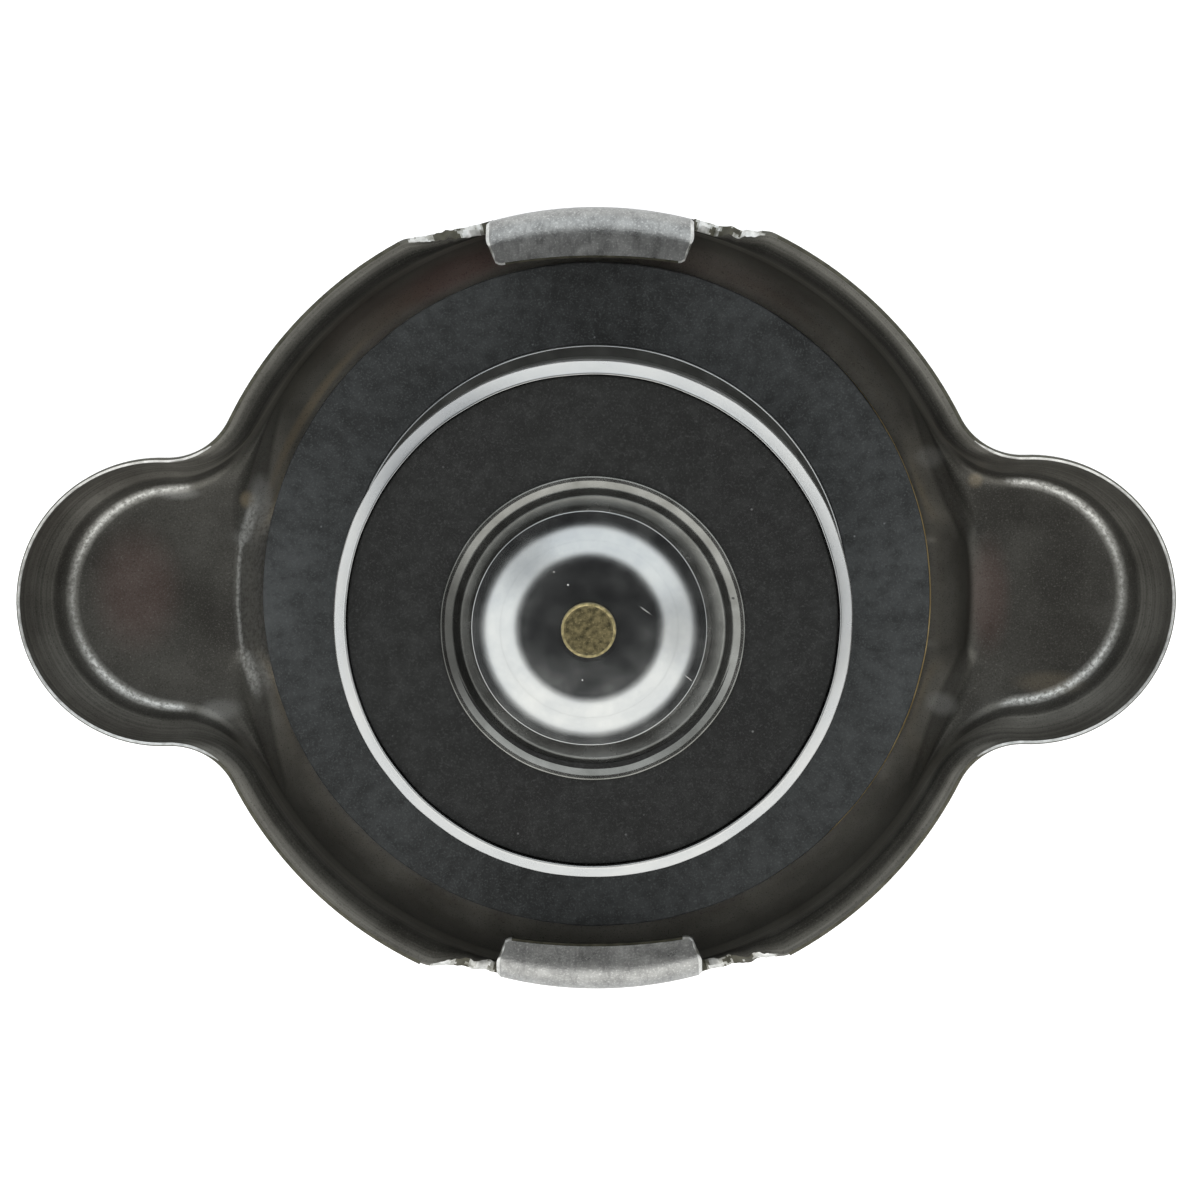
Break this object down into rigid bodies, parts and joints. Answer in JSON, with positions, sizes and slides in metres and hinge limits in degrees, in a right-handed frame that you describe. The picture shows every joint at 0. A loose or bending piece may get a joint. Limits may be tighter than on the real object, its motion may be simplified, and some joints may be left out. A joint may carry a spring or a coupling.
{
  "type": "pressure cap for a coolant filler neck",
  "caption": "Two-eared bayonet pressure cap for a coolant filler neck, with locking tabs, an upper gasket, a spring-loaded pressure valve and a small vacuum valve.",
  "frame": {"origin": "centre of the crown's outer face, on which the cap lies", "axes": "+Z from the crown into the filler neck, +X along the two ears, +Y through one locking tab"},
  "size_m": [0.0836, 0.0568, 0.0246],
  "materials": {
    "shell_steel": "dark-looking tinned steel sheet, satin, warm, with bare bright sheared edges",
    "plated_steel": "plated steel, satin",
    "spring_brass": "thin brass sheet, dulled",
    "upper_rubber": "black rubber with dried coolant dust",
    "bright_steel": "bright pressed steel",
    "spring_steel": "round spring wire",
    "lower_rubber": "black rubber, plain and matt",
    "stem_brass": "brass rivet, tarnished"
  },
  "bodies": {
    "shell": {"shell": "shell_steel"},
    "core": {"centre_rivet": "plated_steel", "thrust_washer": "plated_steel", "spring_disc": "spring_brass", "upper_gasket": "upper_rubber", "gasket_plate": "bright_steel", "bell": "plated_steel", "rivet_washer": "plated_steel", "pressure_spring": "spring_steel"},
    "pressure_valve": {"valve_cup": "bright_steel", "lower_gasket": "lower_rubber", "seat_cup": "bright_steel", "vacuum_seal": "lower_rubber", "vacuum_spring": "spring_steel"},
    "vacuum_valve": {"vacuum_disc": "bright_steel", "vacuum_stem": "stem_brass", "spring_keeper": "stem_brass"}
  },
  "joints": [
    {"name": "core_turn", "type": "hinge", "parent": "shell", "child": "core", "pos_m": [0, 0, 0], "axis": [0, 0, 1], "continuous": true},
    {"name": "valve_lift", "type": "slide", "parent": "core", "child": "pressure_valve", "axis": [0, 0, -1], "range_m": [0, 0.003], "stiffness_N_per_m": 400, "springref_m": -0.00125, "deforming": ["pressure_spring"]},
    {"name": "vacuum_open", "type": "slide", "parent": "pressure_valve", "child": "vacuum_valve", "axis": [0, 0, 1], "range_m": [0, 0.0015], "stiffness_N_per_m": 40, "springref_m": -0.001, "deforming": ["vacuum_spring"]}
  ]
}
